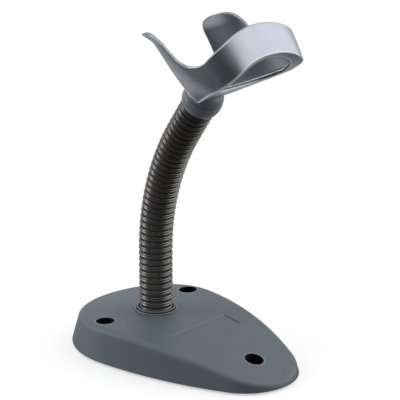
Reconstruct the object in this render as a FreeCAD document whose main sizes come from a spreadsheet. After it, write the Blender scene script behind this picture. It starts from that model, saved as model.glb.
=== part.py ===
import FreeCAD, Part
import math
import os

import Sketcher
from FreeCAD import Placement, Rotation, Vector

# Desk stand that holds a handheld barcode scanner: a weighted base, a flexible
# gooseneck built from interlocking turns, and an open holder on a swivel.
# Frame: +Z up, +X towards the front of the base, origin on the table under the neck.

doc = FreeCAD.newDocument("scanner_stand")
sheet = doc.addObject("Spreadsheet::Sheet", "Dims")

DIMENSIONS = {
    # base outline: rear circle, front circle, and the two long arcs that join them
    "base_rear_radius": 54.0,
    "base_rear_place": -1.0,
    "base_front_radius": 34.4,
    "base_front_place": 78.3,
    "base_side_radius": 253.0,
    # base section
    "foot_height": 1.3,
    "cover_draft": 15.0,
    "cover_wall": 2.6,
    "crown_radius": 331.0,
    "crown_place": 5.7,
    "crown_height": 22.2,
    "cover_edge_radius": 4.6,
    # holes that take wood screws through the base
    "mount_rear_place": -8.2,
    "mount_front_place": 86.6,
    "mount_spacing": 75.6,
    "mount_bore_radius": 2.4,
    "mount_head_radius": 6.0,
    "mount_boss_radius": 7.6,
    "mount_seat_height": 4.6,
    # blank label recess
    "label_length": 50.0,
    "label_width": 14.5,
    "label_place": 44.3,
    "label_depth": 0.4,
    # plates in the base
    "ballast_inset": 16.0,
    "ballast_bottom": 8.0,
    "ballast_thickness": 5.0,
    "ballast_front": 68.0,
    "bottom_plate_inset": 3.4,
    "bottom_plate_thickness": 1.5,
    "post_radius": 3.6,
    "post_pilot_radius": 1.25,
    "screw_shank_radius": 1.2,
    "screw_head_radius": 2.8,
    "screw_head_height": 1.8,
    "pad_radius": 8.0,
    # gooseneck
    "turn_pitch": 4.16,
    "turn_count": 37,
    "neck_start_height": 21.24,
    "neck_straight_length": 41.26,
    "neck_bend_radius": 155.4,
    "neck_bend_angle": 33.5,
    "turn_rim_radius": 11.0,
    "turn_waist_radius": 10.2,
    "turn_bore_radius": 8.5,
    "tail_ball_radius": 9.85,
    "socket_ball_radius": 9.93,
    "bezel_bore_radius": 11.5,
    "bezel_outer_radius": 14.0,
    # swivel and holder
    "collar_length": 9.3,
    "collar_bulge_height": 6.8,
    "collar_top_radius": 12.8,
    "hub_radius": 12.4,
    "hub_top": 17.4,
    "hub_shoulder_radius": 7.2,
    "screw_seat": 12.5,
    "swivel_screw_radius": 1.95,
    "swivel_head_radius": 3.8,
    "swivel_gap": 0.05,
    # the holder's own axes start where its side walls meet the sole, above the hub
    "holder_place": 47.6,
    "holder_height": 172.6,
    "holder_tilt": 28.0,
    "holder_wall": 2.5,
    "sole_rear_place": 2.7,
    "sole_rear_half_width": 13.0,
    "sole_half_width": 33.2,
    "sole_length": 62.6,
    "toe_arch_start": 42.0,
    "toe_arch_height": 10.5,
    "strap_height": 31.4,
    "strap_arch_radius": 58.0,
    "nose_half_length": 15.0,
    "nose_half_width": 25.5,
    "nose_place": 44.6,
}
for row, (alias, value) in enumerate(DIMENSIONS.items(), start=1):
    sheet.set(f"A{row}", alias)
    sheet.set(f"B{row}", str(value))
    sheet.setAlias(f"B{row}", alias)
doc.recompute()


def dim(alias):
    return float(sheet.get(alias))


nodes = []


def keep(piece, label):
    """Gives a finished piece the label that names its file."""
    piece.Label = label
    nodes.append(piece)
    return piece


def bind(thing, **sizes):
    """Binds properties to expressions on the sheet."""
    for name, expression in sizes.items():
        thing.setExpression(name, expression)
    return thing


# ---------------------------------------------------------------- sketch helpers
def origin_plane(body, role):
    return next(f for f in body.Origin.OriginFeatures if f.Role == role)


def new_body(name):
    return doc.addObject("PartDesign::Body", name)


def new_sketch(body, name, role="XY_Plane"):
    sketch = body.newObject("Sketcher::SketchObject", name)
    sketch.AttachmentSupport = [(origin_plane(body, role), "")]
    sketch.MapMode = "FlatFace"
    return sketch


def side_arc_centre(inset):
    """Centre of the long arc on the +Y side of the base outline."""
    rear, front = dim("base_rear_radius"), dim("base_front_radius")
    side = dim("base_side_radius")
    span = dim("base_front_place") - dim("base_rear_place")
    a, b = side - rear, side - front
    along = (a * a - b * b + span * span) / (2 * span)
    return dim("base_rear_place") + along, -math.sqrt(a * a - along * along)


def outline_sketch(body, name, inset):
    """The base outline, moved inwards by the expression inset, as four tangent arcs."""
    sketch = new_sketch(body, name)
    inset_value = inset_amount(inset)
    rear = dim("base_rear_radius") - inset_value
    front = dim("base_front_radius") - inset_value
    side = dim("base_side_radius") - inset_value
    rear_at, front_at = dim("base_rear_place"), dim("base_front_place")
    cx, cy = side_arc_centre(inset_value)
    rear_angle = math.atan2(-cy, rear_at - cx)
    front_angle = math.atan2(-cy, front_at - cx)
    up = Vector(0, 0, 1)

    def arc(x, y, radius, start, end):
        circle = Part.Circle(Vector(x, y, 0), up, radius)
        return sketch.addGeometry(Part.ArcOfCircle(circle, start, end), False)

    rear_arc = arc(rear_at, 0, rear, rear_angle, 2 * math.pi - rear_angle)
    right_arc = arc(cx, -cy, side, -rear_angle, -front_angle)
    front_arc = arc(front_at, 0, front, -front_angle, front_angle)
    left_arc = arc(cx, cy, side, front_angle, rear_angle)
    ring = [rear_arc, right_arc, front_arc, left_arc]
    for here, there in zip(ring, ring[1:] + ring[:1]):
        sketch.addConstraint(Sketcher.Constraint("Tangent", here, 2, there, 1))
    for index, place in ((rear_arc, "base_rear_place"), (front_arc, "base_front_place")):
        sketch.addConstraint(Sketcher.Constraint("PointOnObject", index, 3, -1))
        c = sketch.addConstraint(
            Sketcher.Constraint("DistanceX", -1, 1, index, 3, dim(place)))
        sketch.setExpression(f"Constraints[{c}]", f"Dims.{place}")
    for index, radius, alias in (
            (rear_arc, rear, "base_rear_radius"),
            (front_arc, front, "base_front_radius"),
            (left_arc, side, "base_side_radius")):
        c = sketch.addConstraint(Sketcher.Constraint("Radius", index, radius))
        sketch.setExpression(f"Constraints[{c}]", f"Dims.{alias} - ({inset})")
    sketch.addConstraint(Sketcher.Constraint("Equal", left_arc, right_arc))
    return sketch


def inset_amount(expression):
    """The value of an inset expression made of numbers and sheet aliases."""
    total = 0.0
    for term in expression.split("+"):
        term = term.strip()
        total += dim(term[5:]) if term.startswith("Dims.") else float(term)
    return total


def value_of(size):
    """A size is a number, or a pair of sheet alias and what is added to it."""
    return dim(size[0]) + size[1] if isinstance(size, tuple) else float(size)


def pin_point(sketch, kind, geometry, end, size):
    """Fixes one coordinate of a sketch point, bound to the sheet where size names a cell."""
    value = value_of(size)
    pair = (-1, 1, geometry, end) if value >= 0 else (geometry, end, -1, 1)
    number = sketch.addConstraint(Sketcher.Constraint(kind, *pair, abs(value)))
    if isinstance(size, tuple):
        expression = f"Dims.{size[0]} + {size[1]}"
        sketch.setExpression(
            f"Constraints[{number}]", expression if value >= 0 else f"-({expression})")


def axial_sketch(body, name, corners):
    """A closed half-section beside the Z axis, in the XZ plane.

    Each corner is (radius, height). A corner (None, height, centre, ball) is reached
    by an arc of radius ball around the axis point at height centre.
    """
    sketch = new_sketch(body, name, "XZ_Plane")

    def ball_point(corner, other=None):
        height = value_of(corner[1])
        if corner[0] is not None:
            return Vector(value_of(corner[0]), height, 0)
        centre, ball = (value_of(v) for v in (other or corner)[2:])
        return Vector(math.sqrt(ball ** 2 - (height - centre) ** 2), height, 0)

    count = len(corners)
    places = []
    for index, corner in enumerate(corners):
        after = corners[(index + 1) % count]
        other = after if corner[0] is None and len(corner) == 2 else None
        places.append(ball_point(corner, other))
    segments = []
    for index, corner in enumerate(corners):
        start, end = places[index - 1], places[index]
        if len(corner) == 4:
            centre, ball = value_of(corner[2]), value_of(corner[3])
            angles = sorted(math.atan2(p.y - centre, p.x) for p in (start, end))
            circle = Part.Circle(Vector(0, centre, 0), Vector(0, 0, 1), ball)
            segments.append(sketch.addGeometry(Part.ArcOfCircle(circle, *angles), False))
        else:
            segments.append(sketch.addGeometry(Part.LineSegment(start, end), False))

    def ends(index):
        """Sketch point numbers of a segment's start and end along the outline."""
        if len(corners[index]) < 4 or places[index].y > places[index - 1].y:
            return 1, 2
        return 2, 1

    for index in range(count):
        after = (index + 1) % count
        sketch.addConstraint(Sketcher.Constraint(
            "Coincident", segments[index], ends(index)[1],
            segments[after], ends(after)[0]))
    for index, corner in enumerate(corners):
        end = ends(index)[1]
        if corner[0] is not None:
            pin_point(sketch, "DistanceX", segments[index], end, corner[0])
        pin_point(sketch, "DistanceY", segments[index], end, corner[1])
        if len(corner) == 4:
            sketch.addConstraint(
                Sketcher.Constraint("PointOnObject", segments[index], 3, -2))
            if value_of(corner[2]):
                pin_point(sketch, "DistanceY", segments[index], 3, corner[2])
            else:
                sketch.addConstraint(
                    Sketcher.Constraint("PointOnObject", segments[index], 3, -1))
            number = sketch.addConstraint(Sketcher.Constraint(
                "Radius", segments[index], value_of(corner[3])))
            if isinstance(corner[3], tuple):
                sketch.setExpression(
                    f"Constraints[{number}]", f"Dims.{corner[3][0]} + {corner[3][1]}")
    return sketch


def turned(name, corners):
    """A body of revolution about Z from a half-section in the XZ plane."""
    body = new_body(name)
    sketch = axial_sketch(body, name + "_section", corners)
    turn = body.newObject("PartDesign::Revolution", name + "_turn")
    turn.Profile = sketch
    turn.ReferenceAxis = (sketch, ["V_Axis"])
    turn.Angle = 360
    return body


def plate(name, inset, bottom, thickness):
    """A flat plate in the shape of the base outline."""
    body = new_body(name)
    sketch = outline_sketch(body, name + "_outline", inset)
    bind(sketch, **{"AttachmentOffset.Base.z": bottom})
    pad = body.newObject("PartDesign::Pad", name + "_pad")
    pad.Profile = sketch
    bind(pad, Length=thickness)
    return body


def rod(name, radius, height, place=(0, 0, 0)):
    """A Part cylinder with bound radius, height and position."""
    cylinder = doc.addObject("Part::Cylinder", name)
    bind(cylinder, Radius=radius, Height=height)
    for axis, value in zip("xyz", place):
        bind(cylinder, **{f"Placement.Base.{axis}": str(value)})
    return cylinder


def fuse(name, shapes):
    joined = doc.addObject("Part::MultiFuse", name)
    joined.Shapes = shapes
    return joined


def cut(name, base, tool):
    result = doc.addObject("Part::Cut", name)
    result.Base = base
    result.Tool = tool
    return result


def common(name, shapes):
    shared = doc.addObject("Part::MultiCommon", name)
    shared.Shapes = shapes
    return shared


# ------------------------------------------------------------------------- base
def crowned_block(name, inset, lowered):
    """The drafted base outline under a top that curves down to the front and back."""
    body = new_body(name)
    sketch = outline_sketch(body, name + "_outline", inset)
    bind(sketch, **{"AttachmentOffset.Base.z": "Dims.foot_height"})
    pad = body.newObject("PartDesign::Pad", name + "_pad")
    pad.Profile = sketch
    bind(pad, Length="Dims.crown_height", TaperAngle="-Dims.cover_draft")
    crown = doc.addObject("Part::Cylinder", name + "_crown")
    crown.Placement.Rotation = Rotation(Vector(1, 0, 0), 90)
    bind(crown, Radius="Dims.crown_radius", Height="4 * Dims.base_rear_radius", **{
        "Placement.Base.x": "Dims.crown_place",
        "Placement.Base.y": "2 * Dims.base_rear_radius",
        "Placement.Base.z": f"Dims.crown_height - Dims.crown_radius - ({lowered})",
    })
    return common(name + "_block", [body, crown])


def rounded_top(name, block, radius):
    """Rounds the edge between a block's crowned top and its drafted sides."""
    doc.recompute()
    top = max(block.Shape.Faces, key=lambda face: face.CenterOfMass.z)
    numbers = [
        number for number, edge in enumerate(block.Shape.Edges, start=1)
        if any(edge.isSame(other) for other in top.Edges)
    ]
    fillet = doc.addObject("Part::Fillet", name)
    fillet.Base = block
    fillet.Edges = [(number, radius, radius) for number in numbers]
    return fillet


def mount_places():
    """Sheet expressions for the three screw holes through the base."""
    half = "Dims.mount_spacing / 2"
    return [
        ("Dims.mount_rear_place", half),
        ("Dims.mount_rear_place", "-" + half),
        ("Dims.mount_front_place", "0"),
    ]


BALLAST_POSTS = [(-28.0, 0.0), (26.0, 23.0), (26.0, -23.0)]
PLATE_POSTS = [(-46.0, 0.0), (34.0, 43.0), (34.0, -43.0), (101.0, 0.0)]
PAD_PLACES = [(0.0, 0.0), (-33.0, 26.0), (-33.0, -26.0), (66.0, 26.0), (66.0, -26.0)]
BALLAST_TOP = "Dims.ballast_bottom + Dims.ballast_thickness"
PLATE_BOTTOM = "Dims.foot_height + 0.2"
PLATE_TOP = "Dims.foot_height + 0.2 + Dims.bottom_plate_thickness"


def rods_at(name, places, radius, height, bottom):
    """The same rod at several places."""
    return [
        rod(f"{name}_{number}", radius, height, (x, y, bottom))
        for number, (x, y) in enumerate(places, start=1)
    ]


def base_cover():
    outer = rounded_top(
        "cover_outer", crowned_block("cover_outside", "0", "0"), dim("cover_edge_radius"))
    inner = crowned_block("cover_inside", "Dims.cover_wall", "Dims.cover_wall")
    shell = cut("cover_shell", outer, inner)
    full = "Dims.crown_height + 2"
    posts = (
        rods_at("mount_boss", mount_places(), "Dims.mount_boss_radius", full, PLATE_TOP)
        + rods_at("ballast_post", BALLAST_POSTS, "Dims.post_radius", full, BALLAST_TOP)
        + rods_at("plate_post", PLATE_POSTS, "Dims.post_radius", full, PLATE_TOP))
    posts_inside = common("posts_inside", [outer, fuse("posts", posts)])
    body = fuse("cover_body", [shell, posts_inside])
    label = doc.addObject("Part::Box", "label_recess")
    bind(label, Length="Dims.label_width", Width="Dims.label_length", Height="20", **{
        "Placement.Base.x": "Dims.label_place - Dims.label_width / 2",
        "Placement.Base.y": "-Dims.label_length / 2",
        "Placement.Base.z": "Dims.foot_height + 13",
    })
    label_floor = doc.addObject("Part::Cylinder", "label_floor")
    label_floor.Placement.Rotation = Rotation(Vector(1, 0, 0), 90)
    bind(label_floor, Radius="Dims.crown_radius", Height="4 * Dims.base_rear_radius", **{
        "Placement.Base.x": "Dims.crown_place",
        "Placement.Base.y": "2 * Dims.base_rear_radius",
        "Placement.Base.z": "Dims.crown_height - Dims.crown_radius - Dims.label_depth",
    })
    label_cut = cut("label_cut", label, label_floor)
    holes = (
        rods_at("mount_bore", mount_places(), "Dims.mount_bore_radius", "40", "-5")
        + rods_at("mount_head", mount_places(), "Dims.mount_head_radius", "40",
                  "Dims.mount_seat_height + 1.6")
        + rods_at("ballast_pilot", BALLAST_POSTS, "Dims.post_pilot_radius", "4.5",
                  BALLAST_TOP)
        + rods_at("plate_pilot", PLATE_POSTS, "Dims.post_pilot_radius", "4", PLATE_TOP)
        + [rod("neck_opening", "Dims.bezel_outer_radius - 0.9", "40"), label_cut,
           rod("bezel_seat", "Dims.bezel_outer_radius + 0.05", "40",
               (0, 0, "Dims.crown_height - 0.65"))])
    return keep(cut("base_cover", body, fuse("cover_holes", holes)), "base_cover")


def neck_bezel():
    """Trim ring that lines the opening round the foot of the neck."""
    bore, outer = "bezel_bore_radius", "bezel_outer_radius"
    top = "crown_height"
    return keep(turned("neck_bezel", [
        ((bore, 0), (top, -2.5)),
        ((outer, -0.95), (top, -2.5)),
        ((outer, -0.95), (top, -0.65)),
        ((outer, 0), (top, -0.65)),
        ((outer, 0), (top, 0.5)),
        ((outer, -0.3), (top, 0.8)),
        ((bore, 1.5), (top, 0.8)),
        ((bore, 1.4), (top, 0.1)),
        ((bore, 0.95), (top, 0.1)),
        ((bore, 0.95), (top, 1.7)),
        ((bore, 0.7), (top, 2.0)),
        ((bore, 0.3), (top, 2.0)),
        ((bore, 0), (top, 1.7)),
    ]), "neck_bezel")


def ballast_plate():
    outline = plate("ballast_outline", "Dims.ballast_inset",
                    "Dims.ballast_bottom", "Dims.ballast_thickness")
    reach = doc.addObject("Part::Box", "ballast_reach")
    bind(reach, Length="2 * Dims.ballast_front", Width="4 * Dims.base_rear_radius",
         Height="40", **{
             "Placement.Base.x": "-Dims.ballast_front",
             "Placement.Base.y": "-2 * Dims.base_rear_radius"})
    slab = common("ballast_slab", [outline, reach])
    holes = (
        rods_at("boss_clearance", mount_places(), "Dims.mount_boss_radius + 0.8", "40", "0")
        + rods_at("ballast_hole", BALLAST_POSTS, "Dims.screw_shank_radius + 0.3", "40", "0")
        + [rod("stem_hole", "8.1", "40")])
    return keep(cut("ballast_plate", slab, fuse("ballast_holes", holes)), "ballast_plate")


def bottom_plate():
    slab = plate("bottom_slab", "Dims.bottom_plate_inset",
                 PLATE_BOTTOM, "Dims.bottom_plate_thickness")
    holes = (
        rods_at("plate_mount", mount_places(), "Dims.mount_bore_radius", "40", "0")
        + rods_at("plate_hole", PLATE_POSTS, "Dims.screw_shank_radius + 0.3", "40", "0"))
    return keep(cut("bottom_plate", slab, fuse("plate_holes", holes)), "bottom_plate")


def screws(label, places, seat, head_height, reach):
    """A group of like self-tapping screws driven upwards, heads below their seat."""
    solids = []
    for number, (x, y) in enumerate(places, start=1):
        head = rod(f"{label}_head_{number}", "Dims.screw_head_radius", head_height,
                   (x, y, f"{seat} - {head_height}"))
        shank = rod(f"{label}_shank_{number}", "Dims.screw_shank_radius", reach,
                    (x, y, seat))
        slot = rod(f"{label}_socket_{number}", "0.9", "0.8",
                   (x, y, f"{seat} - {head_height}"))
        solids.append(cut(f"{label}_{number}", fuse(f"{label}_solid_{number}",
                                                    [head, shank]), slot))
    group = doc.addObject("Part::Compound", label)
    group.Links = solids
    return keep(group, label)


def foot_pads():
    """Rubber pads under the bottom plate, one of them under the neck."""
    group = doc.addObject("Part::Compound", "foot_pads")
    group.Links = rods_at("foot_pad", PAD_PLACES, "Dims.pad_radius",
                          "Dims.foot_height + 0.2", "0")
    return keep(group, "foot_pads")


def neck_foot_fitting():
    """Turned steel fitting that carries the first turn of the neck."""
    start, rim = "neck_start_height", "turn_rim_radius"
    top = ("ballast_bottom", dim("ballast_thickness"))
    flange = ("ballast_bottom", dim("ballast_thickness") + 1.6)
    return keep(turned("neck_foot_fitting", [
        (5.0, 3.2),
        (8.0, 3.2),
        (8.0, top),
        (12.5, top),
        (12.5, flange),
        ((rim, -0.4), flange),
        ((rim, -0.4), (start, -0.75)),
        ((rim, -0.75), (start, -0.35)),
        (None, (start, -0.35)),
        (None, (start, -2.3), (start, 0), ("socket_ball_radius", 0)),
        (("turn_bore_radius", 0), (start, -2.3)),
        (("turn_bore_radius", 0), (start, -4.5)),
        (5.0, (start, -4.5)),
    ]), "neck_foot_fitting")


def neck_lock_nut():
    """Thin hexagon nut under the ballast plate."""
    nut = doc.addObject("Part::Prism", "nut_hexagon")
    nut.Polygon = 6
    bind(nut, Circumradius="12.7", Height="3.2", **{
        "Placement.Base.z": "Dims.ballast_bottom - 1 - 3.2"})
    return keep(cut("neck_lock_nut", nut, rod("nut_bore", "8.05", "40")), "neck_lock_nut")


def neck_lock_washer():
    disc = rod("washer_disc", "12.0", "1.0", (0, 0, "Dims.ballast_bottom - 1"))
    return keep(cut("neck_lock_washer", disc, rod("washer_bore", "8.2", "40")),
                "neck_lock_washer")


# -------------------------------------------------------------------- gooseneck
def along_neck(length):
    """Placement of the neck's own axes along it: straight, bent, then straight again."""
    straight, radius = dim("neck_straight_length"), dim("neck_bend_radius")
    full_bend = math.radians(dim("neck_bend_angle"))
    bent = min(max(length - straight, 0), radius * full_bend)
    angle = bent / radius
    tail = max(length - straight - bent, 0)
    rise = dim("neck_start_height") + min(length, straight)
    place = Vector(radius * (1 - math.cos(angle)) + tail * math.sin(angle), 0,
                   rise + radius * math.sin(angle) + tail * math.cos(angle))
    return Placement(place, Rotation(Vector(0, 1, 0), math.degrees(angle)))


def neck_turn(number):
    """One turn of the gooseneck: a tail ball below, a rim with a ball socket above."""
    label = f"neck_turn_{number:02d}"
    pitch, rim, waist = "turn_pitch", "turn_rim_radius", "turn_waist_radius"
    turn = turned(label, [
        (("turn_bore_radius", 0), -1.2),
        (None, -1.2),
        (None, 0.45, 0, ("tail_ball_radius", 0)),
        ((waist, 0), 0.45),
        ((rim, 0), (pitch, -1.15)),
        ((rim, 0), (pitch, -0.75)),
        ((rim, -0.4), (pitch, -0.35)),
        (None, (pitch, -0.35)),
        (None, (pitch, -2.3), (pitch, 0), ("socket_ball_radius", 0)),
        (("turn_bore_radius", 0), (pitch, -2.3)),
    ])
    turn.Placement = along_neck((number - 1) * dim(pitch))
    return keep(turn, label)


# ------------------------------------------------------------- swivel and holder
NECK_END = along_neck(dim("turn_count") * dim("turn_pitch"))


def neck_end_fitting():
    """Turned steel fitting in the last turn, tapped for the swivel screw."""
    fitting = turned("neck_end_fitting", [
        (2.0, -1.2),
        (None, -1.2),
        (None, 0.45, 0, ("tail_ball_radius", 0)),
        (10.6, 0.45),
        (10.6, 1.4),
        (7.9, 1.4),
        (7.9, ("collar_length", 0)),
        (2.0, ("collar_length", 0)),
    ])
    fitting.Placement = NECK_END
    return keep(fitting, "neck_end_fitting")


def neck_collar():
    """Plastic collar pressed over the end fitting, rounded below and straight above."""
    top, length = "collar_top_radius", "collar_length"
    bulge = ("collar_bulge_height", 0)
    collar = turned("neck_collar", [
        (10.65, 0.5),
        (None, 0.5),
        (None, bulge, bulge, (top, 0)),
        ((top, 0), (length, -0.6)),
        ((top, -0.5), (length, 0)),
        (7.95, (length, 0)),
        (7.95, 1.45),
        (10.65, 1.45),
    ])
    collar.Placement = NECK_END
    return keep(collar, "neck_collar")


def flat_ring(name, inner, outer, bottom, thickness):
    ring = cut(name, rod(name + "_disc", outer, thickness),
               rod(name + "_bore", inner, thickness))
    ring.Placement = NECK_END.multiply(Placement(Vector(0, 0, bottom), Rotation()))
    return keep(ring, name)


def swivel_screw():
    """Pan-head screw that clamps the holder to the neck's end fitting."""
    shank, head = ("swivel_screw_radius", 0), ("swivel_head_radius", 0)
    seat = dim("screw_seat") + 1.0
    screw = turned("swivel_screw", [
        (0, 0.6),
        (shank, 0.6),
        (shank, seat),
        (head, seat),
        (head, seat + 1.6),
        (2.6, seat + 2.6),
        (1.3, seat + 2.6),
        (1.3, seat + 1.1),
        (0, seat + 1.1),
    ])
    screw.Placement = NECK_END
    return keep(screw, "swivel_screw")


def holder_section(height, wall):
    """Closed outline of the holder at a height above the sole, set in by wall.

    The sides widen from the rear edges, run straight, and turn through a
    superelliptic corner into the toe. An inset outline also runs on to the rear,
    so that it opens the back of the holder when it is cut away.
    """
    rear_x = dim("sole_rear_place") * math.exp(-height / 12) - 0.003 * height * abs(height)
    flare = 0.075 * max(height - 41.5, 0) ** 2
    rear_y = dim("sole_rear_half_width") + 11.5 * (1 - math.exp(-height / 22)) + flare
    side_y = dim("sole_half_width") + 5.4 * (1 - math.exp(-height / 26))
    widest_x = 46 * math.exp(-height / 38)
    corner_x = 46 - 0.33 * height
    toe_x = dim("sole_length") - 0.0035 * height * abs(height)
    right = []
    for step in range(6):
        share = step / 6
        right.append((rear_x + (widest_x - rear_x) * share,
                      rear_y + (side_y - rear_y) * math.sin(math.pi / 2 * share ** 1.15)))
    right.append((widest_x, side_y))
    if corner_x - widest_x > 6:
        right.append(((widest_x + corner_x) / 2, side_y))
    power = 2 / 3.4
    for step in range(1 if corner_x - widest_x < 3 else 0, 7):
        turn = math.pi / 2 * step / 7
        right.append((corner_x + (toe_x - corner_x) * math.sin(turn) ** power,
                      side_y * math.cos(turn) ** power))
    outline = right + [(toe_x, 0.0)] + [(x, -y) for x, y in reversed(right)]
    if not wall:
        return outline
    inner = []
    for index, (x, y) in enumerate(outline):
        before = outline[max(index - 1, 0)]
        after = outline[min(index + 1, len(outline) - 1)]
        along = Vector(after[0] - before[0], after[1] - before[1], 0).normalize()
        inner.append((x + along.y * wall, y - along.x * wall))
    for end, other in ((0, 1), (-1, -2)):
        x, y = inner[end]
        back = Vector(x - inner[other][0], y - inner[other][1], 0).normalize() * 14
        extra = (x + back.x, y + back.y)
        inner.insert(0, extra) if end == 0 else inner.append(extra)
    return inner


def holder_loft(wall):
    """Solid inside the holder's outer surface, or inside its inner surface."""
    wires = []
    for height in (-5, 3, 11, 19, 27, 35, 41, 46, 51):
        points = [Vector(x, y, height) for x, y in holder_section(height, wall)]
        curve = Part.BSplineCurve()
        curve.interpolate(points)
        wires.append(Part.Wire([curve.toShape(), Part.makeLine(points[-1], points[0])]))
    return Part.makeLoft(wires, True, False)


def side_region(edges, half_width=60.0):
    """A solid as wide as the holder from a closed outline in the XZ plane."""
    face = Part.Face(Part.Wire(edges))
    face.translate(Vector(0, -half_width, 0))
    return face.extrude(Vector(0, 2 * half_width, 0))


def path(points):
    """Straight edges through points given as (x, z)."""
    places = [Vector(x, 0, z) for x, z in points]
    return [Part.makeLine(a, b) for a, b in zip(places, places[1:])]


def above_sole(lift):
    """Everything above the underside, which is flat and then curls up at the toe."""
    start, rise = dim("toe_arch_start"), dim("toe_arch_height")
    reach = dim("sole_length") - start
    curve = [
        Vector(start + reach * math.sin(a), 0, rise + lift - rise * math.cos(a))
        for a in (math.pi / 2 * n / 8 for n in range(9))
    ]
    toe = Part.BSplineCurve()
    toe.interpolate(curve, InitialTangent=Vector(1, 0, 0), FinalTangent=Vector(0, 0, 1))
    last = curve[-1]
    return side_region(
        path([(-40, lift), (start, lift)]) + [toe.toShape()]
        + path([(last.x, last.z), (90, last.z), (90, 80), (-40, 80), (-40, lift)]))


def above_sides():
    """What is cut away above the wings and the dip between wing and strap."""
    wing_top = [
        (-8.6, 44.0), (-8.3, 47.8), (-5.6, 50.3), (-0.5, 50.6), (4.9, 49.3), (9.2, 47.2),
        (12.6, 44.0), (15.9, 39.2), (18.3, 33.9), (21.4, 28.0), (26.8, 22.3),
        (34.0, 19.1), (41.0, 18.4), (48.0, 19.8)]
    curve = Part.BSplineCurve()
    curve.interpolate([Vector(x, 0, z) for x, z in wing_top])
    first, last = wing_top[0], wing_top[-1]
    return side_region([curve.toShape()] + path([
        last, (last[0], 90), (-40, 90), (-40, first[1]), first]))


def above_strap():
    """What is cut away above the arched top edge of the toe strap."""
    radius, top = dim("strap_arch_radius"), dim("strap_height")
    block = Part.makeBox(60, 120, 80, Vector(48.0, -60, 0))
    arch = Part.makeCylinder(radius, 80, Vector(40, 0, top - radius), Vector(1, 0, 0))
    return block.cut(arch)


def nose_opening():
    """The opening in the sole that the scanner looks through."""
    length, width = dim("nose_half_length"), dim("nose_half_width")
    places = []
    for step in range(24):
        angle = 2 * math.pi * step / 24
        x, y = math.cos(angle), math.sin(angle)
        places.append(Vector(
            dim("nose_place") + math.copysign(abs(x) ** 0.75, x) * length,
            math.copysign(abs(y) ** 0.75, y) * width, -10))
    curve = Part.BSplineCurve()
    curve.interpolate(places, PeriodicFlag=True)
    return Part.Face(Part.Wire(curve.toShape())).extrude(Vector(0, 0, 24))


def holder():
    """One moulding: hub, sole, two wings and the toe strap."""
    wall = dim("holder_wall")
    body = holder_loft(0).common(above_sole(0))
    body = body.cut(holder_loft(wall).common(above_sole(wall)))
    body = body.cut(above_sides()).cut(above_strap()).cut(nose_opening())
    place = Placement(Vector(dim("holder_place"), 0, dim("holder_height")),
                      Rotation(Vector(0, 1, 0), -dim("holder_tilt")))
    hub_place = place.inverse() * NECK_END
    seat = dim("collar_length") + dim("swivel_gap")
    hub = Part.makeCylinder(dim("hub_radius"), dim("hub_top") - seat, Vector(0, 0, seat))
    shoulder = [e for e in hub.Edges if e.BoundBox.ZMin > dim("hub_top") - 0.01]
    hub = hub.makeFillet(dim("hub_shoulder_radius"), shoulder)
    hub.Placement = hub_place
    body = body.fuse(hub)
    bores = [
        Part.makeCylinder(dim("swivel_screw_radius") + 0.3, 40),
        Part.makeCylinder(7.6, 0.85, Vector(0, 0, seat - 0.02)),
        Part.makeCylinder(dim("swivel_head_radius") + 0.8, 15,
                          Vector(0, 0, dim("screw_seat"))),
    ]
    for bore in bores:
        bore.Placement = hub_place * bore.Placement
        body = body.cut(bore)
    feature = doc.addObject("Part::Feature", "holder")
    feature.Shape = body.removeSplitter()
    feature.Placement = place
    return keep(feature, "holder")


base_cover()
neck_bezel()
ballast_plate()
bottom_plate()
screws("ballast_screws", BALLAST_POSTS, "Dims.ballast_bottom",
       "Dims.screw_head_height", "8.5")
screws("bottom_plate_screws", PLATE_POSTS, PLATE_BOTTOM, "1.2", "5")
foot_pads()
neck_foot_fitting()
neck_lock_nut()
neck_lock_washer()
for turn_number in range(1, int(dim("turn_count")) + 1):
    neck_turn(turn_number)
neck_end_fitting()
neck_collar()
flat_ring("swivel_friction_washer", "2.3", "7.4", dim("collar_length"), "0.85")
flat_ring("swivel_screw_washer", "2.1", "4.4", dim("screw_seat"), "1.0")
swivel_screw()
holder()




# ----------------------------------------------------------------------- output
def check_document():
    """Stops if any object failed, or a finished piece is missing or not valid."""
    doc.recompute()
    for thing in doc.Objects:
        if {"Invalid", "Error"} & set(thing.State):
            raise RuntimeError(f"{thing.Name} failed: {thing.State}")
    for piece in nodes:
        if piece.Shape.isNull() or not piece.Shape.isValid():
            raise RuntimeError(f"{piece.Label} has no valid shape")


check_document()
os.makedirs("parts", exist_ok=True)
for piece in nodes:
    piece.Shape.exportStep(os.path.join("parts", piece.Label + ".step"))
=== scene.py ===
import math

import bpy
import numpy as np
from mathutils import Matrix, Vector


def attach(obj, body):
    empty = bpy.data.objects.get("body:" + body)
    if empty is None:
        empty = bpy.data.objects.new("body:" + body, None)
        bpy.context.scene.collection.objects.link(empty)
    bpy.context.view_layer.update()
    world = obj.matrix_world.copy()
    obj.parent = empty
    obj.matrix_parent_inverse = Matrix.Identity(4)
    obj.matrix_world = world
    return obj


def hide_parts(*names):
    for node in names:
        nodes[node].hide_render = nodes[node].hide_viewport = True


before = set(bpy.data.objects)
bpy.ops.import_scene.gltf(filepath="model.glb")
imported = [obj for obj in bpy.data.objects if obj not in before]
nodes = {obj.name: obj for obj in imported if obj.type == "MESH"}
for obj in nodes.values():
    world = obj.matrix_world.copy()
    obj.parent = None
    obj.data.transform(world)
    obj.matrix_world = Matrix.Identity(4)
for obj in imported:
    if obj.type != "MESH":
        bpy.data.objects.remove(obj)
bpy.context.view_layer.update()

MM = 0.001


# ------------------------------------------------------------------ distance fields
# A field takes an array of points in millimetres and gives a distance that is negative
# inside the solid. The mesh is drawn where the field is nought.
GRID_PARTS = 24
SLIDES = 4


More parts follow.
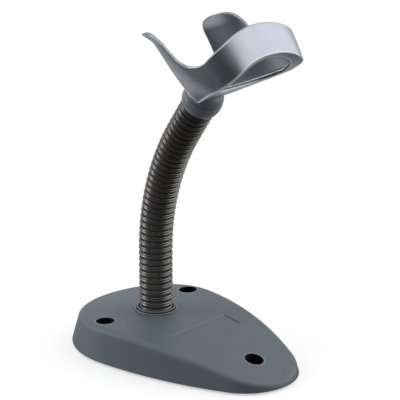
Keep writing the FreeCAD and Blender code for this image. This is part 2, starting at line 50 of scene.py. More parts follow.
def slope_of(field, points, step=0.02):
    """Gradient of a field by central differences."""
    grad = np.empty_like(points)
    for axis in range(3):
        shift = np.zeros(3)
        shift[axis] = step
        grad[:, axis] = (field(points + shift) - field(points - shift)) / (2 * step)
    return grad


def as_distance(shape, points, step=0.02):
    """Turns any smooth implicit function into a distance near its surface."""
    grad = slope_of(shape, points, step)
    return shape(points) / np.maximum(np.linalg.norm(grad, axis=1), 1e-4)


def round_max(a, b, radius):
    """Overlap of two solids, with the edge between them rounded."""
    corner = np.hypot(np.maximum(a + radius, 0), np.maximum(b + radius, 0))
    return np.minimum(np.maximum(a, b), -radius) + corner


def round_min(a, b, radius):
    """Two solids joined, with a fillet between them."""
    return -round_max(-a, -b, radius)


def skin(field, low, high, step):
    """Mesh of a field's surface: one vertex per crossed cell, slid onto the surface."""
    axes = [np.arange(l, h + step, step) for l, h in zip(low, high)]
    shape = tuple(len(a) for a in axes)
    grid = np.stack(np.meshgrid(*axes, indexing="ij"), -1).reshape(-1, 3)
    values = np.concatenate([field(part) for part in np.array_split(grid, GRID_PARTS)])
    values = values.reshape(shape)
    inside = values < 0
    cells = tuple(n - 1 for n in shape)
    total = np.zeros(cells + (3,))
    count = np.zeros(cells)
    corners = [(i, j, k) for i in (0, 1) for j in (0, 1) for k in (0, 1)]

    def corner(array, c):
        return array[c[0]:c[0] + cells[0], c[1]:c[1] + cells[1], c[2]:c[2] + cells[2]]

    for axis in range(3):
        for c in corners:
            if c[axis]:
                continue
            d = tuple(1 if n == axis else v for n, v in enumerate(c))
            a, b = corner(values, c), corner(values, d)
            crossed = corner(inside, c) != corner(inside, d)
            share = np.where(crossed, a / np.where(crossed, a - b, 1), 0)
            for n in range(3):
                total[..., n] += np.where(crossed, c[n] + (share if n == axis else 0), 0)
            count += crossed
    used = count > 0
    number = np.full(cells, -1)
    number[used] = np.arange(used.sum())
    index = np.argwhere(used)
    start = np.array([a[0] for a in axes])
    points = start + (index + total[used] / count[used][:, None]) * step
    faces = []
    for axis in range(3):
        one, two = (axis + 1) % 3, (axis + 2) % 3
        before = [slice(None)] * 3
        after = [slice(None)] * 3
        before[axis], after[axis] = slice(None, -1), slice(1, None)
        here, there = inside[tuple(before)], inside[tuple(after)]
        for outward in (True, False):
            at = np.argwhere((here & ~there) if outward else (~here & there))
            keep = (at[:, one] > 0) & (at[:, two] > 0)
            keep &= (at[:, one] < cells[one]) & (at[:, two] < cells[two])
            at = at[keep]
            ring = []
            for du, dv in ((-1, -1), (0, -1), (0, 0), (-1, 0)):
                cell = at.copy()
                cell[:, one] += du
                cell[:, two] += dv
                ring.append(number[tuple(cell.T)])
            quad = np.stack(ring, 1)
            faces.append(quad if outward else quad[:, ::-1])
    faces = np.concatenate(faces)
    faces = faces[(faces >= 0).all(axis=1)]
    for _ in range(SLIDES):
        grad = slope_of(field, points)
        size = np.maximum((grad ** 2).sum(1), 0.05)
        move = grad * (field(points) / size)[:, None]
        length = np.linalg.norm(move, axis=1, keepdims=True)
        points = points - move * np.minimum(1, step * 0.5 / np.maximum(length, 1e-9))
    normals = slope_of(field, points)
    normals /= np.maximum(np.linalg.norm(normals, axis=1, keepdims=True), 1e-9)
    return points, faces, normals


def new_object(name, points, faces, normals=None, place=None):
    """An object in metres from points in millimetres, moved by place first."""
    points = np.asarray(points, float)
    if place is not None:
        turn = np.array(place.to_3x3())
        points = points @ turn.T + np.array(place.translation)
        normals = None if normals is None else normals @ turn.T
    mesh = bpy.data.meshes.new(name)
    mesh.from_pydata((points * MM).tolist(), [], np.asarray(faces).tolist())
    mesh.polygons.foreach_set("use_smooth", [True] * len(mesh.polygons))
    mesh.update()
    if normals is not None:
        mesh.normals_split_custom_set_from_vertices(normals.tolist())
    thing = bpy.data.objects.new(name, mesh)
    bpy.context.scene.collection.objects.link(thing)
    return thing


# -------------------------------------------------------------------------- gooseneck
# Millimetres from here on. The neck rises straight, bends forward, then runs straight again.
PITCH = 4.16
TURNS = 37
NECK_START = 21.24
STRAIGHT = 41.26
BEND_RADIUS = 155.4
FULL_BEND = math.radians(33.5)


def along_neck(length):
    """Axes of the neck at a distance along its centre line, in millimetres."""
    bent = min(max(length - STRAIGHT, 0), BEND_RADIUS * FULL_BEND)
    angle = bent / BEND_RADIUS
    tail = max(length - STRAIGHT - bent, 0)
    rise = NECK_START + min(length, STRAIGHT)
    place = Vector((BEND_RADIUS * (1 - math.cos(angle)) + tail * math.sin(angle), 0,
                    rise + BEND_RADIUS * math.sin(angle) + tail * math.cos(angle)))
    return Matrix.Translation(place) @ Matrix.Rotation(angle, 4, "Y")


NECK_END = along_neck(TURNS * PITCH)


def rounded(corners, radius, steps=4):
    """A closed outline with each corner turned into a short arc."""
    path = []
    count = len(corners)
    for n in range(count):
        a, b, c = (np.array(corners[(n + k) % count], float) for k in (-1, 0, 1))
        reach = min(radius, np.linalg.norm(a - b) * 0.45, np.linalg.norm(c - b) * 0.45)
        start = b + (a - b) / np.linalg.norm(a - b) * reach
        end = b + (c - b) / np.linalg.norm(c - b) * reach
        for k in range(steps + 1):
            t = k / steps
            path.append((1 - t) ** 2 * start + 2 * t * (1 - t) * b + t * t * end)
    return np.array(path)


def lathe(name, outline, place, segments=96):
    """A closed outline of (radius, height) turned about the neck's own axis."""
    rows = len(outline)
    angles = np.arange(segments) * 2 * math.pi / segments
    points = np.concatenate([
        np.stack([outline[:, 0] * math.cos(a), outline[:, 0] * math.sin(a), outline[:, 1]], 1)
        for a in angles])
    faces = [
        (s * rows + r, ((s + 1) % segments) * rows + r,
         ((s + 1) % segments) * rows + (r + 1) % rows, s * rows + (r + 1) % rows)
        for s in range(segments) for r in range(rows)]
    return new_object(name, points, faces, place=place)


# A turn's section as (radius, height): a skirt that enters the socket of the turn below,
# then two ridges, and inside them the socket for the next turn's skirt.
TURN_BORE = 8.52
TURN_RADIUS = 10.98
SOCKET_FLOOR = PITCH - 2.28
TURN_OUTLINE = rounded([
    (TURN_BORE, -1.15), (9.6, -1.15), (9.75, 0.3), (9.85, 1.1),
    (TURN_RADIUS, 1.4), (TURN_RADIUS, 1.85), (10.5, 2.35),
    (10.78, 2.8), (10.74, 3.2), (10.3, PITCH - 0.5), (9.96, PITCH - 0.38),
    (9.7, SOCKET_FLOOR), (TURN_BORE, SOCKET_FLOOR)], 0.3)


# ----------------------------------------------------------------------------- holder
# The holder's own axes: x runs towards the toe and z rises out of the cup.
HOLDER_PLACE = (Matrix.Translation((47.6, 0, 172.6))
                @ Matrix.Rotation(math.radians(-28), 4, "Y"))
TO_NECK_END = np.array(NECK_END.inverted() @ HOLDER_PLACE)
WALL = 2.5
LOWEST = -5
MESH_LOW, MESH_HIGH = (-14, -40.2, -19), (65, 40.2, 52.5)
MESH_STEP, QUICK_STEP = 0.55, 1.0

# The hub and what is cut from it, as radii and as heights along the axis of the neck's end.
COLLAR_SEAT = 9.36
HUB_RADIUS, HUB_TOP, HUB_SHOULDER = 12.4, 17.4, 7.2
RECESS_RADIUS, RECESS_TOP = 7.6, 10.2
WELL_RADIUS, SCREW_SEAT = 4.6, 12.5
BORE_RADIUS = 2.25
CUT_TOP = 24
HUB_FILLET = 0.3

# The wall: its rear edge, its widest place and its toe.
REAR_REACH, REAR_FADE, REAR_LEAN = 2.7, 12, 0.003
REAR_HALF, REAR_SPREAD, REAR_RISE = 13, 11.5, 22
FLARE_START, FLARE = 41.5, 0.075
SIDE_HALF, SIDE_SPREAD, SIDE_RISE = 33.2, 5.4, 26
SIDE_POWER, REAR_SLOPE = 1.15, 1.1
WIDEST_X, WIDEST_RISE = 46, 38
CORNER_X, CORNER_LEAN = 46, 0.33
TOE_X, TOE_LEAN = 62.6, 0.0035
TOE_POWER = 3.4
LEAST_HALF = 2

# The sole's curl, the arched top of the strap, and the opening in the nose.
CURL_START, CURL_LENGTH, CURL_POWER = 42, 20.4, 1.25
CURL_HEIGHT, CURL_ARCH, CURL_LOWEST = 11.0, 135, 1.5
STRAP_TOP, STRAP_ARCH = 31.4, 116
STRAP_START, STRAP_BLEND = 43, 10
NOSE_X, NOSE_HALF_LENGTH, NOSE_HALF_WIDTH, NOSE_TOP = 44.3, 15.2, 26, 15
NOSE_POWER = 2.667

# Rounding of the edges.
SOLE_EDGE, INNER_EDGE, RIM_CORNER, RIM_EDGE, NOSE_EDGE = 0.45, 1.8, 3.5, 0.8, 0.6

# Painted light: how wide the painted highlight along the edges is and where it thins out, and
# where the painted shade inside the cup and the toe begins.
EDGE_HIGHLIGHT_WIDTH = 0.65
LOW_HIGHLIGHT_FROM, LOW_HIGHLIGHT_FADE = 22, 0.012
REAR_HIGHLIGHT_FROM, REAR_HIGHLIGHT_FADE, REAR_HIGHLIGHT_SHARE = 10, 0.06, 0.5
NOSE_HIGHLIGHT_LESS = 0.3
# Where the painted shade inside the cup begins.
INSIDE_SHADE_FROM, INSIDE_SHADE_BLEND = 0.5, 0.6
SHADE_TOP, SHADE_BLEND, SHADE_REACH = 20, 8, 20

# A face is the hub's if it is nearer to the hub and farther from the cup than these.
HUB_SKIN, CUP_SKIN = 0.2, 0.02


def rear_line(z):
    """How far back the wings reach at each height."""
    return REAR_REACH * np.exp(-np.maximum(z, LOWEST) / REAR_FADE) - REAR_LEAN * z * np.abs(z)


def wall_shape(p):
    """The holder's outline, which widens with height and turns through the toe."""
    x, y, z = p[:, 0], np.abs(p[:, 1]), np.maximum(p[:, 2], LOWEST)
    rear_x = rear_line(z)
    rear_y = REAR_HALF + REAR_SPREAD * (1 - np.exp(-z / REAR_RISE))
    rear_y = rear_y + FLARE * np.maximum(z - FLARE_START, 0) ** 2
    side_y = SIDE_HALF + SIDE_SPREAD * (1 - np.exp(-z / SIDE_RISE))
    widest_x = WIDEST_X * np.exp(-z / WIDEST_RISE)
    corner_x = CORNER_X - CORNER_LEAN * z
    toe_x = TOE_X - TOE_LEAN * z * np.abs(z)
    share = (x - rear_x) / (widest_x - rear_x)
    turn = np.sin(math.pi / 2 * np.clip(share, 0, 1) ** SIDE_POWER)
    half = rear_y + (side_y - rear_y) * (turn + REAR_SLOPE * np.minimum(share, 0))
    half = np.maximum(half, LEAST_HALF)
    reach = np.maximum(x - corner_x, 0) / (toe_x - corner_x)
    return (reach ** TOE_POWER + (y / half) ** TOE_POWER) ** (1 / TOE_POWER) - 1


def sole_shape(p):
    """Underside: flat, then curled up towards the arched lower edge of the toe."""
    reach = np.clip((p[:, 0] - CURL_START) / CURL_LENGTH, 0, 1.4)
    height = np.maximum(CURL_HEIGHT - p[:, 1] ** 2 / CURL_ARCH, CURL_LOWEST)
    return reach ** CURL_POWER * height - p[:, 2]


# The wings' rim from the side: flat on top, then down into the dip before the strap.
RIM = np.array([
    (-30, 50.2), (-12, 50.4), (-6, 50.6), (-0.5, 50.4), (4.9, 49.3), (9.2, 46.9),
    (12.6, 43.4), (15.9, 38.9), (18.3, 33.9), (21.4, 28.0), (26.8, 22.3), (34.0, 19.0),
    (41.0, 18.2), (48.0, 19.6), (60.0, 24.0)])


def rim_height(x):
    """Height of the wings and of the dip, on a smooth curve through the rim's points."""
    slopes = np.gradient(RIM[:, 1], RIM[:, 0])
    n = np.clip(np.searchsorted(RIM[:, 0], x) - 1, 0, len(RIM) - 2)
    x0, x1 = RIM[n, 0], RIM[n + 1, 0]
    t = np.clip((x - x0) / (x1 - x0), 0, 1)
    h = x1 - x0
    return ((2 * t ** 3 - 3 * t ** 2 + 1) * RIM[n, 1] + (t ** 3 - 2 * t ** 2 + t) * h * slopes[n]
            + (3 * t ** 2 - 2 * t ** 3) * RIM[n + 1, 1] + (t ** 3 - t ** 2) * h * slopes[n + 1])


def top_shape(p):
    """Positive above the rim of the wings and the arched strap."""
    x, y, z = p.T
    blend = np.clip((x - STRAP_START) / STRAP_BLEND, 0, 1)
    blend = blend * blend * (3 - 2 * blend)
    return z - (rim_height(x) * (1 - blend) + (STRAP_TOP - y * y / STRAP_ARCH) * blend)


def rear_shape(p):
    """Positive behind the wings' rear edge."""
    return rear_line(p[:, 2]) - p[:, 0]


def nose_shape(p):
    """Negative inside the opening that the scanner looks through."""
    x = np.abs(p[:, 0] - NOSE_X) / NOSE_HALF_LENGTH
    y = np.abs(p[:, 1]) / NOSE_HALF_WIDTH
    return (x ** NOSE_POWER + y ** NOSE_POWER + 1e-12) ** (1 / NOSE_POWER) - 1


def cup_field(p):
    """The thin cup: wall and sole, cut by the rim, the rear edge and the nose opening."""
    wall = as_distance(wall_shape, p)
    sole = as_distance(sole_shape, p)
    outer = round_max(wall, sole, SOLE_EDGE)
    inner = round_max(wall + WALL, sole + WALL, INNER_EDGE)
    edge = round_max(as_distance(top_shape, p), as_distance(rear_shape, p), RIM_CORNER)
    body = round_max(np.maximum(outer, -inner), edge, RIM_EDGE)
    nose = np.maximum(as_distance(nose_shape, p), p[:, 2] - NOSE_TOP)
    return round_max(body, -nose, NOSE_EDGE)


def hub_field(p):
    """Distance to the hub cap, then the distance from the neck's axis and along it."""
    q = p @ TO_NECK_END[:3, :3].T + TO_NECK_END[:3, 3]
    reach = np.hypot(q[:, 0], q[:, 1])
    cap = round_max(reach - HUB_RADIUS, q[:, 2] - HUB_TOP, HUB_SHOULDER)
    return np.maximum(cap, COLLAR_SEAT - q[:, 2]), reach, q[:, 2]


def holder_field(p):
    """Cup and hub together, less the seat of the neck's end, the screw well and its bore."""
    hub, reach, height = hub_field(p)
    body = round_min(cup_field(p), hub, HUB_FILLET)
    body = round_max(body, COLLAR_SEAT - height, HUB_FILLET)
    recess = np.maximum(reach - RECESS_RADIUS, height - RECESS_TOP)
    well = np.maximum(np.maximum(reach - WELL_RADIUS, SCREW_SEAT - height), height - CUT_TOP)
    bore = np.maximum(reach - BORE_RADIUS, height - CUT_TOP)
    return np.maximum(np.maximum(np.maximum(body, -recess), -well), -bore)


def holder_paint(points):
    """Masks for the painted highlight on the edges, the painted shade inside the cup, and the
    deeper painted shade inside the toe.
    """
    wall = as_distance(wall_shape, points)
    sole = as_distance(sole_shape, points)
    rear = as_distance(rear_shape, points)
    nose = as_distance(nose_shape, points)
    # Distances to the edges, which set where the painted highlight lies.
    low_edge = np.maximum(np.abs(wall), np.abs(sole))
    low_edge = low_edge + np.maximum(points[:, 0] - LOW_HIGHLIGHT_FROM, 0) * LOW_HIGHLIGHT_FADE
    rear_edge = np.maximum(np.abs(wall), np.abs(rear) * REAR_HIGHLIGHT_SHARE)
    rear_edge = rear_edge + np.maximum(points[:, 2] - REAR_HIGHLIGHT_FROM, 0) * REAR_HIGHLIGHT_FADE
    nose_edge = np.maximum(np.abs(nose), np.minimum(np.abs(sole), np.abs(sole + WALL)))
    nose_edge = nose_edge + NOSE_HIGHLIGHT_LESS
    nearest = np.minimum(np.minimum(low_edge, rear_edge), nose_edge)
    # Painted shade inside the cup, away from the outer surfaces.
    in_wall = np.clip((-wall - INSIDE_SHADE_FROM) / INSIDE_SHADE_BLEND, 0, 1)
    in_sole = np.clip((-sole - INSIDE_SHADE_FROM) / INSIDE_SHADE_BLEND, 0, 1)
    inner = in_wall * in_sole
    # Deeper painted shade, low down and towards the toe.
    low_down = np.clip((SHADE_TOP - points[:, 2]) / SHADE_BLEND, 0, 1)
    towards_toe = np.clip(points[:, 0] / SHADE_REACH, 0, 1)
    return {"edge": np.exp(-(nearest / EDGE_HIGHLIGHT_WIDTH) ** 2), "inner": inner,
            "toe_painted_shade": inner * low_down * towards_toe}


def make_holder():
    """The holder moulding, and which of its faces belong to the hub."""
    step = MESH_STEP
    points, faces, normals = skin(holder_field, MESH_LOW, MESH_HIGH, step)
    middles = points[faces].mean(1)
    is_hub = (hub_field(middles)[0] < HUB_SKIN) & (cup_field(middles) > CUP_SKIN)
    thing = new_object("holder_moulding", points, faces, normals, HOLDER_PLACE)
    for name, values in holder_paint(points).items():
        paint = thing.data.attributes.new(name, "FLOAT", "POINT")
        paint.data.foreach_set("value", values.astype(np.float32))
    return thing, is_hub


# -------------------------------------------------------------------------- materials
# Distances inside materials are in metres, as objects are.
# Noise scales: broad clouds of colour, patches of gloss, and fine grain.
CLOUD, PATCH, GRAIN = 14.0, 90.0, 2600.0


class Looks:
    """Builds one node material step by step."""

    def __init__(self, name):
        self.material = bpy.data.materials.new(name)
        self.material.use_nodes = True
        self.tree = self.material.node_tree
        self.shader = self.tree.nodes["Principled BSDF"]
        self.place = self.add("ShaderNodeTexCoord").outputs["Object"]

    def add(self, kind, links=None, **settings):
        node = self.tree.nodes.new(kind)
        for key, value in settings.items():
            setattr(node, key, value)
        for key, value in (links or {}).items():
            self.put(node.inputs[key], value)
        return node

    def put(self, socket, value):
        if isinstance(value, bpy.types.NodeSocket):
            self.tree.links.new(value, socket)
        else:
            socket.default_value = value

    def noise(self, scale, detail=3.0, rough=0.55):
        return self.add("ShaderNodeTexNoise", {
            "Vector": self.place, "Scale": scale, "Detail": detail,
            "Roughness": rough}).outputs["Fac"]

    def remap(self, value, low, high, to_low, to_high):
        return self.add("ShaderNodeMapRange", {
            "Value": value, "From Min": low, "From Max": high,
            "To Min": to_low, "To Max": to_high}).outputs["Result"]

    def cloud(self, scale, to_low, to_high):
        """Soft patches that run between two values."""
        return self.remap(self.noise(scale), 0.3, 0.7, to_low, to_high)

    def mix(self, share, one, two):
        node = self.add("ShaderNodeMix", data_type="RGBA")
        self.put(node.inputs[0], share)
        self.put(node.inputs[6], (*one, 1) if isinstance(one, tuple) else one)
        self.put(node.inputs[7], (*two, 1) if isinstance(two, tuple) else two)
        return node.outputs[2]

    def maths(self, operation, *values):
        node = self.add("ShaderNodeMath", operation=operation)
        for socket, value in zip(node.inputs, values):
            self.put(socket, value)
        return node.outputs[0]

    def off(self, value, middle):
        """How far a value is from a middle one."""
        return self.maths("ABSOLUTE", self.maths("SUBTRACT", value, middle))

    def vector(self, operation, output, one, two=None):
        links = {0: one} if two is None else {0: one, 1: two}
        return self.add("ShaderNodeVectorMath", links, operation=operation).outputs[output]

    def flat_place(self):
        """The place seen from above, with its height left out."""
        return self.vector("MULTIPLY", "Vector", self.place, (1, 1, 0))

    def bump(self, height, distance, after=None):
        links = {"Height": height, "Distance": distance, "Strength": 1.0}
        if after is not None:
            links["Normal"] = after
        return self.add("ShaderNodeBump", links).outputs["Normal"]

    def grain(self, distance, edge=0.0, scale=GRAIN):
        """Fine moulded grain, over edges rounded to a radius."""
        after = self.rounded_edge(edge) if edge else None
        return self.bump(self.noise(scale, 2.0, 0.6), distance, after)

    def rounded_edge(self, radius):
        return self.add("ShaderNodeBevel", {"Radius": radius}, samples=6).outputs["Normal"]

    def finish(self, color, rough, normal=None, **more):
        self.put(self.shader.inputs["Base Color"], color)
        self.put(self.shader.inputs["Roughness"], rough)
        if normal is not None:
            self.put(self.shader.inputs["Normal"], normal)
        for name, value in more.items():
            self.put(self.shader.inputs[name.replace("_", " ")], value)
        return self.material


SLATE, SLATE_SHADE = (0.083, 0.106, 0.129), (0.076, 0.098, 0.120)
GREY, GREY_SHADE = (0.185, 0.208, 0.235), (0.170, 0.193, 0.220)
SILVER, SILVER_SHADE = (0.325, 0.34, 0.385), (0.31, 0.325, 0.37)
# Painted shade inside the cup and deeper in the toe, and the painted highlight on the holder's
# edges, which also glows.
SILVER_INSIDE_SHADE, SILVER_TOE_SHADE = (0.21, 0.23, 0.26), (0.09, 0.10, 0.115)
EDGE_HIGHLIGHT = (0.75, 0.80, 0.86)
SCREW_HOLES = ((-0.0082, 0.0378), (-0.0082, -0.0378), (0.0866, 0.0))
# Painted light on the cover: the radius of the painted highlight on the well lips, and where the
# painted shade inside the wells starts.
LIP_RADIUS, WELL_SIDE = 0.0065, 0.00602
# Where the painted highlight along the label recess edge sits.
LABEL_EDGE_X, LABEL_HALF = 0.0371, 0.0246
# Radius, half width and colour of the rings painted on the bezel: a painted highlight, a painted
# shadow in the groove, and a painted highlight.
BEZEL_LIGHT_AND_SHADE_RINGS = ((0.0120, 0.0004, (0.24, 0.26, 0.28)), (0.01268, 0.0003, (0.006, 0.006, 0.007)),
               (0.0136, 0.0004, (0.17, 0.19, 0.21)))


def moulded(name, color, shade, rough, grain, edge=0.0004, grain_scale=GRAIN, metallic=0.0):
    """Fine-grained moulded plastic with worn, slightly rounded edges."""
    look = Looks(name)
    base = look.mix(look.cloud(CLOUD, 0, 1), color, shade)
    normal = look.grain(grain, edge, grain_scale)
    return look.finish(base, look.cloud(PATCH, rough - 0.035, rough + 0.035), normal,
                       Specular_IOR_Level=0.5, Metallic=metallic)


def metal(name, color, rough, scale=900.0, cast=0.00002):
    """Bare metal with a faint cast or drawn texture."""
    look = Looks(name)
    patches = look.noise(60.0)
    base = look.mix(patches, color, tuple(c * 0.82 for c in color))
    normal = look.bump(look.noise(scale), cast, look.rounded_edge(0.0002))
    return look.finish(base, look.remap(patches, 0.3, 0.7, rough - 0.06, rough + 0.08),
                       normal, Metallic=1.0)


def cover_plastic():
    """Slate plastic, with painted shade that makes the screw wells dark, a painted highlight on
    their lips and a painted highlight along the label recess edge.
    """
    look = Looks("cover_plastic")
    shade = look.mix(look.noise(CLOUD), SLATE, SLATE_SHADE)
    flat = look.flat_place()
    well = 1.0
    for x, y in SCREW_HOLES:
        well = look.maths("MINIMUM", well, look.vector("DISTANCE", "Value", flat, (x, y, 0)))
    # Painted highlight on the lips of the screw wells.
    lip_highlight = look.remap(look.off(well, LIP_RADIUS), 0.0002, 0.0005, 0.5, 0.0)
    shade = look.mix(lip_highlight, shade, (0.24, 0.27, 0.31))
    # Painted shade: the inside of the screw wells is made near black.
    well_shade = look.remap(well, WELL_SIDE, WELL_SIDE + 0.0001, 1.0, 0.0)
    shade = look.mix(well_shade, shade, (0.004, 0.004, 0.005))
    # Painted highlight along the long edge of the label recess.
    split = look.add("ShaderNodeSeparateXYZ", {"Vector": look.place})
    label_edge_highlight = look.remap(look.off(split.outputs["X"], LABEL_EDGE_X), 0.0001, 0.0005, 0.6, 0.0)
    across = look.maths("ABSOLUTE", split.outputs["Y"])
    within = look.remap(across, LABEL_HALF, LABEL_HALF + 0.0006, 1.0, 0.0)
    shade = look.mix(look.maths("MULTIPLY", label_edge_highlight, within), shade, (0.26, 0.30, 0.34))
    return look.finish(shade, look.cloud(PATCH, 0.46, 0.53), look.grain(0.000018, 0.0005))


def bezel_plastic():
    """Slate plastic with painted rings: a painted highlight, a painted shadow and a painted
    highlight.
    """
    look = Looks("bezel_plastic")
    reach = look.vector("LENGTH", "Value", look.flat_place())
    shade = look.mix(look.noise(CLOUD), SLATE, SLATE_SHADE)
    # Painted highlight and painted shadow rings, one after another.
    for radius, width, tint in BEZEL_LIGHT_AND_SHADE_RINGS:
        ring = look.remap(look.off(reach, radius), width * 0.6, width, 0.85, 0.0)
        shade = look.mix(ring, shade, tint)
    return look.finish(shade, look.cloud(PATCH, 0.36, 0.43), look.grain(0.000012, 0.0004))


def holder_plastic():
    """Silver lacquer with painted shade inside the cup and a painted highlight on the edges,
    which also glows.
    """
    look = Looks("holder_plastic")
    edge, inner, toe_painted_shade = (look.add("ShaderNodeAttribute", attribute_name=mask).outputs["Fac"]
                         for mask in ("edge", "inner", "toe_painted_shade"))
    shade = look.mix(look.cloud(CLOUD, 0, 1), SILVER, SILVER_SHADE)
    # Painted shade inside the cup, deeper painted shade in the toe, then the painted highlight
    # on the edges.
    shade = look.mix(inner, shade, SILVER_INSIDE_SHADE)
    shade = look.mix(toe_painted_shade, shade, SILVER_TOE_SHADE)
    shade = look.mix(edge, shade, EDGE_HIGHLIGHT)
    # The painted edge highlight also glows as emission.
    return look.finish(
        shade, look.cloud(PATCH, 0.34, 0.41), look.grain(0.000005), Metallic=0.87,
        Specular_IOR_Level=0.5, Emission_Color=(*EDGE_HIGHLIGHT, 1),
        Emission_Strength=look.maths("MULTIPLY", edge, 0.4))


# --------------------------------------------------------------------- visible pieces
fitting_look = moulded("fitting_plastic", GREY, GREY_SHADE, 0.36, 0.000010)
hub_look = moulded("hub_plastic", GREY, GREY_SHADE, 0.36, 0.000010, edge=0)
neck_look = moulded("neck_plastic", (0.150, 0.141, 0.137), (0.130, 0.122, 0.119), 0.30,
                    0.000003, edge=0, grain_scale=1800.0, metallic=0.8)
coated_look = moulded("plate_steel", (0.02, 0.02, 0.021), (0.017, 0.017, 0.018), 0.45, 0.00002)
rubber_look = moulded("pad_rubber", (0.016, 0.016, 0.016), (0.012, 0.012, 0.012), 0.8, 0.00004)
nylon_look = moulded("friction_nylon", (0.7, 0.69, 0.64), (0.66, 0.65, 0.6), 0.45, 0.00001)
iron_look = metal("ballast_iron", (0.12, 0.12, 0.12), 0.6, 500.0, 0.00006)
steel_look = metal("screw_steel", (0.56, 0.56, 0.55), 0.32)
black_look = metal("blackened_steel", (0.022, 0.022, 0.023), 0.45)

holder, is_hub = make_holder()
for look in (holder_plastic(), hub_look):
    holder.data.materials.append(look)
holder.data.polygons.foreach_set("material_index", is_hub.astype(np.int32))
holder.data.update()
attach(holder, "holder")
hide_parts("holder")

for number in range(1, TURNS + 1):
    turn = lathe(f"gooseneck_turn_{number:02d}", TURN_OUTLINE, along_neck((number - 1) * PITCH))
    turn.data.materials.append(neck_look)
    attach(turn, f"turn_{number:02d}")
    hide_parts(f"neck_turn_{number:02d}")

LOOKS = {
    "base_cover": cover_plastic(), "neck_bezel": bezel_plastic(), "ballast_plate": iron_look,
    "bottom_plate": coated_look, "ballast_screws": steel_look,
    "bottom_plate_screws": steel_look, "foot_pads": rubber_look,
    "neck_foot_fitting": fitting_look, "neck_lock_nut": steel_look,
    "neck_lock_washer": steel_look, "neck_end_fitting": black_look,
    "neck_collar": fitting_look, "swivel_friction_washer": nylon_look,
    "swivel_screw_washer": steel_look, "swivel_screw": steel_look,
}
for name, look in LOOKS.items():
    thing = nodes[name]
    thing.data.materials.clear()
    thing.data.materials.append(look)


# ------------------------------------------------------------ stage, light and camera
AZIMUTH, ELEVATION, DISTANCE, LENS = 44.04, 19.37, 1.4564, 201.05
TARGET = Vector((-0.00051, 0.04142, 0.08567))
SENSOR_WIDTH = 36
DIM_SIDE = math.radians(44)
CAMERA_SIDE = Vector((math.sin(DIM_SIDE), -math.cos(DIM_SIDE), 0))
ROOM_BEHIND, ROOM_BY_CAMERA = 0.75, 0.055
FLOOR_SIZE = 3000
FADE_START, FADE_END = 0.16, 0.34
FLOOR_GLOW = 0.55


def flat_panel(name, size, height):
    """A square panel in millimetres, centred on the origin."""
    half = size / 2
    return new_object(name, [(-half, -half, height), (half, -half, height),
                             (half, half, height), (-half, half, height)], [(0, 1, 2, 3)])


def pale_floor():
    """A floor that looks pale, fades out away from the stand, is clear from below and
    throws back little light."""
    look = Looks("pale_floor")
    away = look.vector("LENGTH", "Value", look.place)
    fade = look.remap(away, FADE_START, FADE_END, 0.0, 1.0)
    front = look.vector("DOT_PRODUCT", "Value", look.place, CAMERA_SIDE)
    seen = look.add("ShaderNodeLightPath").outputs["Is Camera Ray"]
    dim_side = look.remap(front, -0.1, 0.12, 0.5, 0.05)
    hidden = look.mix(dim_side, (0, 0, 0), (1, 1, 1))
    pale = look.mix(look.noise(3.0), (0.93, 0.93, 0.93), (0.95, 0.95, 0.95))
    look.finish(look.mix(seen, hidden, pale), 0.9, Specular_IOR_Level=0.0)
    clear = look.add("ShaderNodeBsdfTransparent")
    bright = look.add("ShaderNodeEmission", {"Color": (1, 1, 1, 1), "Strength": 1.0})
    under = look.add("ShaderNodeNewGeometry").outputs["Backfacing"]
    soft = look.add("ShaderNodeMixShader", {
        0: look.maths("MULTIPLY", seen, FLOOR_GLOW),
        1: look.shader.outputs[0], 2: bright.outputs[0]})
    blend = look.add("ShaderNodeMixShader", {
        0: look.maths("MULTIPLY", look.maths("MAXIMUM", fade, under), seen),
        1: soft.outputs[0], 2: clear.outputs[0]})
    look.put(look.tree.nodes["Material Output"].inputs["Surface"], blend.outputs[0])
    return look.material


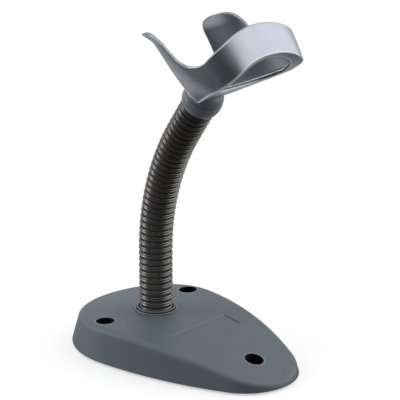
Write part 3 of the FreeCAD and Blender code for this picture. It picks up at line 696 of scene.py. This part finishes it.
def studio_world():
    """White to the camera; it lights the object brightly from behind and dimly in front."""
    world = bpy.data.worlds.new("studio")
    world.use_nodes = True
    tree = world.node_tree
    background = tree.nodes["Background"]
    background.inputs["Color"].default_value = (1, 1, 1, 1)
    ray = tree.nodes.new("ShaderNodeLightPath")
    coord = tree.nodes.new("ShaderNodeTexCoord")
    facing = tree.nodes.new("ShaderNodeVectorMath")
    facing.operation = "DOT_PRODUCT"
    facing.inputs[1].default_value = CAMERA_SIDE
    tree.links.new(coord.outputs["Generated"], facing.inputs[0])
    room = tree.nodes.new("ShaderNodeMapRange")
    room.interpolation_type = "SMOOTHSTEP"
    for key, value in (("From Min", -0.3), ("From Max", 0.55),
                       ("To Min", ROOM_BEHIND), ("To Max", ROOM_BY_CAMERA)):
        room.inputs[key].default_value = value
    tree.links.new(facing.outputs["Value"], room.inputs["Value"])
    level = tree.nodes.new("ShaderNodeMix")
    level.inputs[3].default_value = 1.0
    tree.links.new(ray.outputs["Is Camera Ray"], level.inputs[0])
    tree.links.new(room.outputs["Result"], level.inputs[2])
    tree.links.new(level.outputs[0], background.inputs["Strength"])
    return world


def softbox(name, place, target, size, power, spread=180):
    """Area light in metres and watts, aimed at a target, with its spread in degrees."""
    data = bpy.data.lights.new(name, "AREA")
    data.shape = "RECTANGLE"
    data.size, data.size_y = size
    data.energy = power
    data.spread = math.radians(spread)
    lamp = bpy.data.objects.new(name, data)
    lamp.location = place
    lamp.rotation_euler = (Vector(target) - Vector(place)).to_track_quat("-Z", "Y").to_euler()
    bpy.context.scene.collection.objects.link(lamp)
    return lamp


def place_camera():
    """Camera in metres, looking at its target from an azimuth and an elevation."""
    a, e = math.radians(AZIMUTH), math.radians(ELEVATION)
    back = Vector((math.sin(a) * math.cos(e), -math.cos(a) * math.cos(e), math.sin(e)))
    data = bpy.data.cameras.new("camera")
    data.lens = LENS
    data.sensor_width = SENSOR_WIDTH
    data.clip_start, data.clip_end = 0.05, 50
    camera = bpy.data.objects.new("camera", data)
    camera.location = TARGET + back * DISTANCE
    camera.rotation_euler = (-back).to_track_quat("-Z", "Y").to_euler()
    bpy.context.scene.collection.objects.link(camera)
    bpy.context.scene.camera = camera


floor = flat_panel("floor", FLOOR_SIZE, 0.0)
floor.data.materials.append(pale_floor())
bpy.context.scene.world = studio_world()
softbox("top_light", (0.1, 0.1, 1.3), (0.03, 0, 0.1), (1.2, 1.2), 8)
softbox("right_light", (0.75, 0.90, 0.62), (0.05, 0, 0.17), (1.5, 1.3), 10)
softbox("left_light", (-0.8, -0.65, 0.5), (0.03, 0, 0.15), (0.35, 0.9), 5)
low_light = softbox("low_light", (0.2, -0.8, 0.14), (0.02, -0.03, 0.0), (0.7, 0.2), 0.22, 40)
low_light.visible_glossy = False
place_camera()
bpy.context.scene.view_settings.view_transform = "Standard"
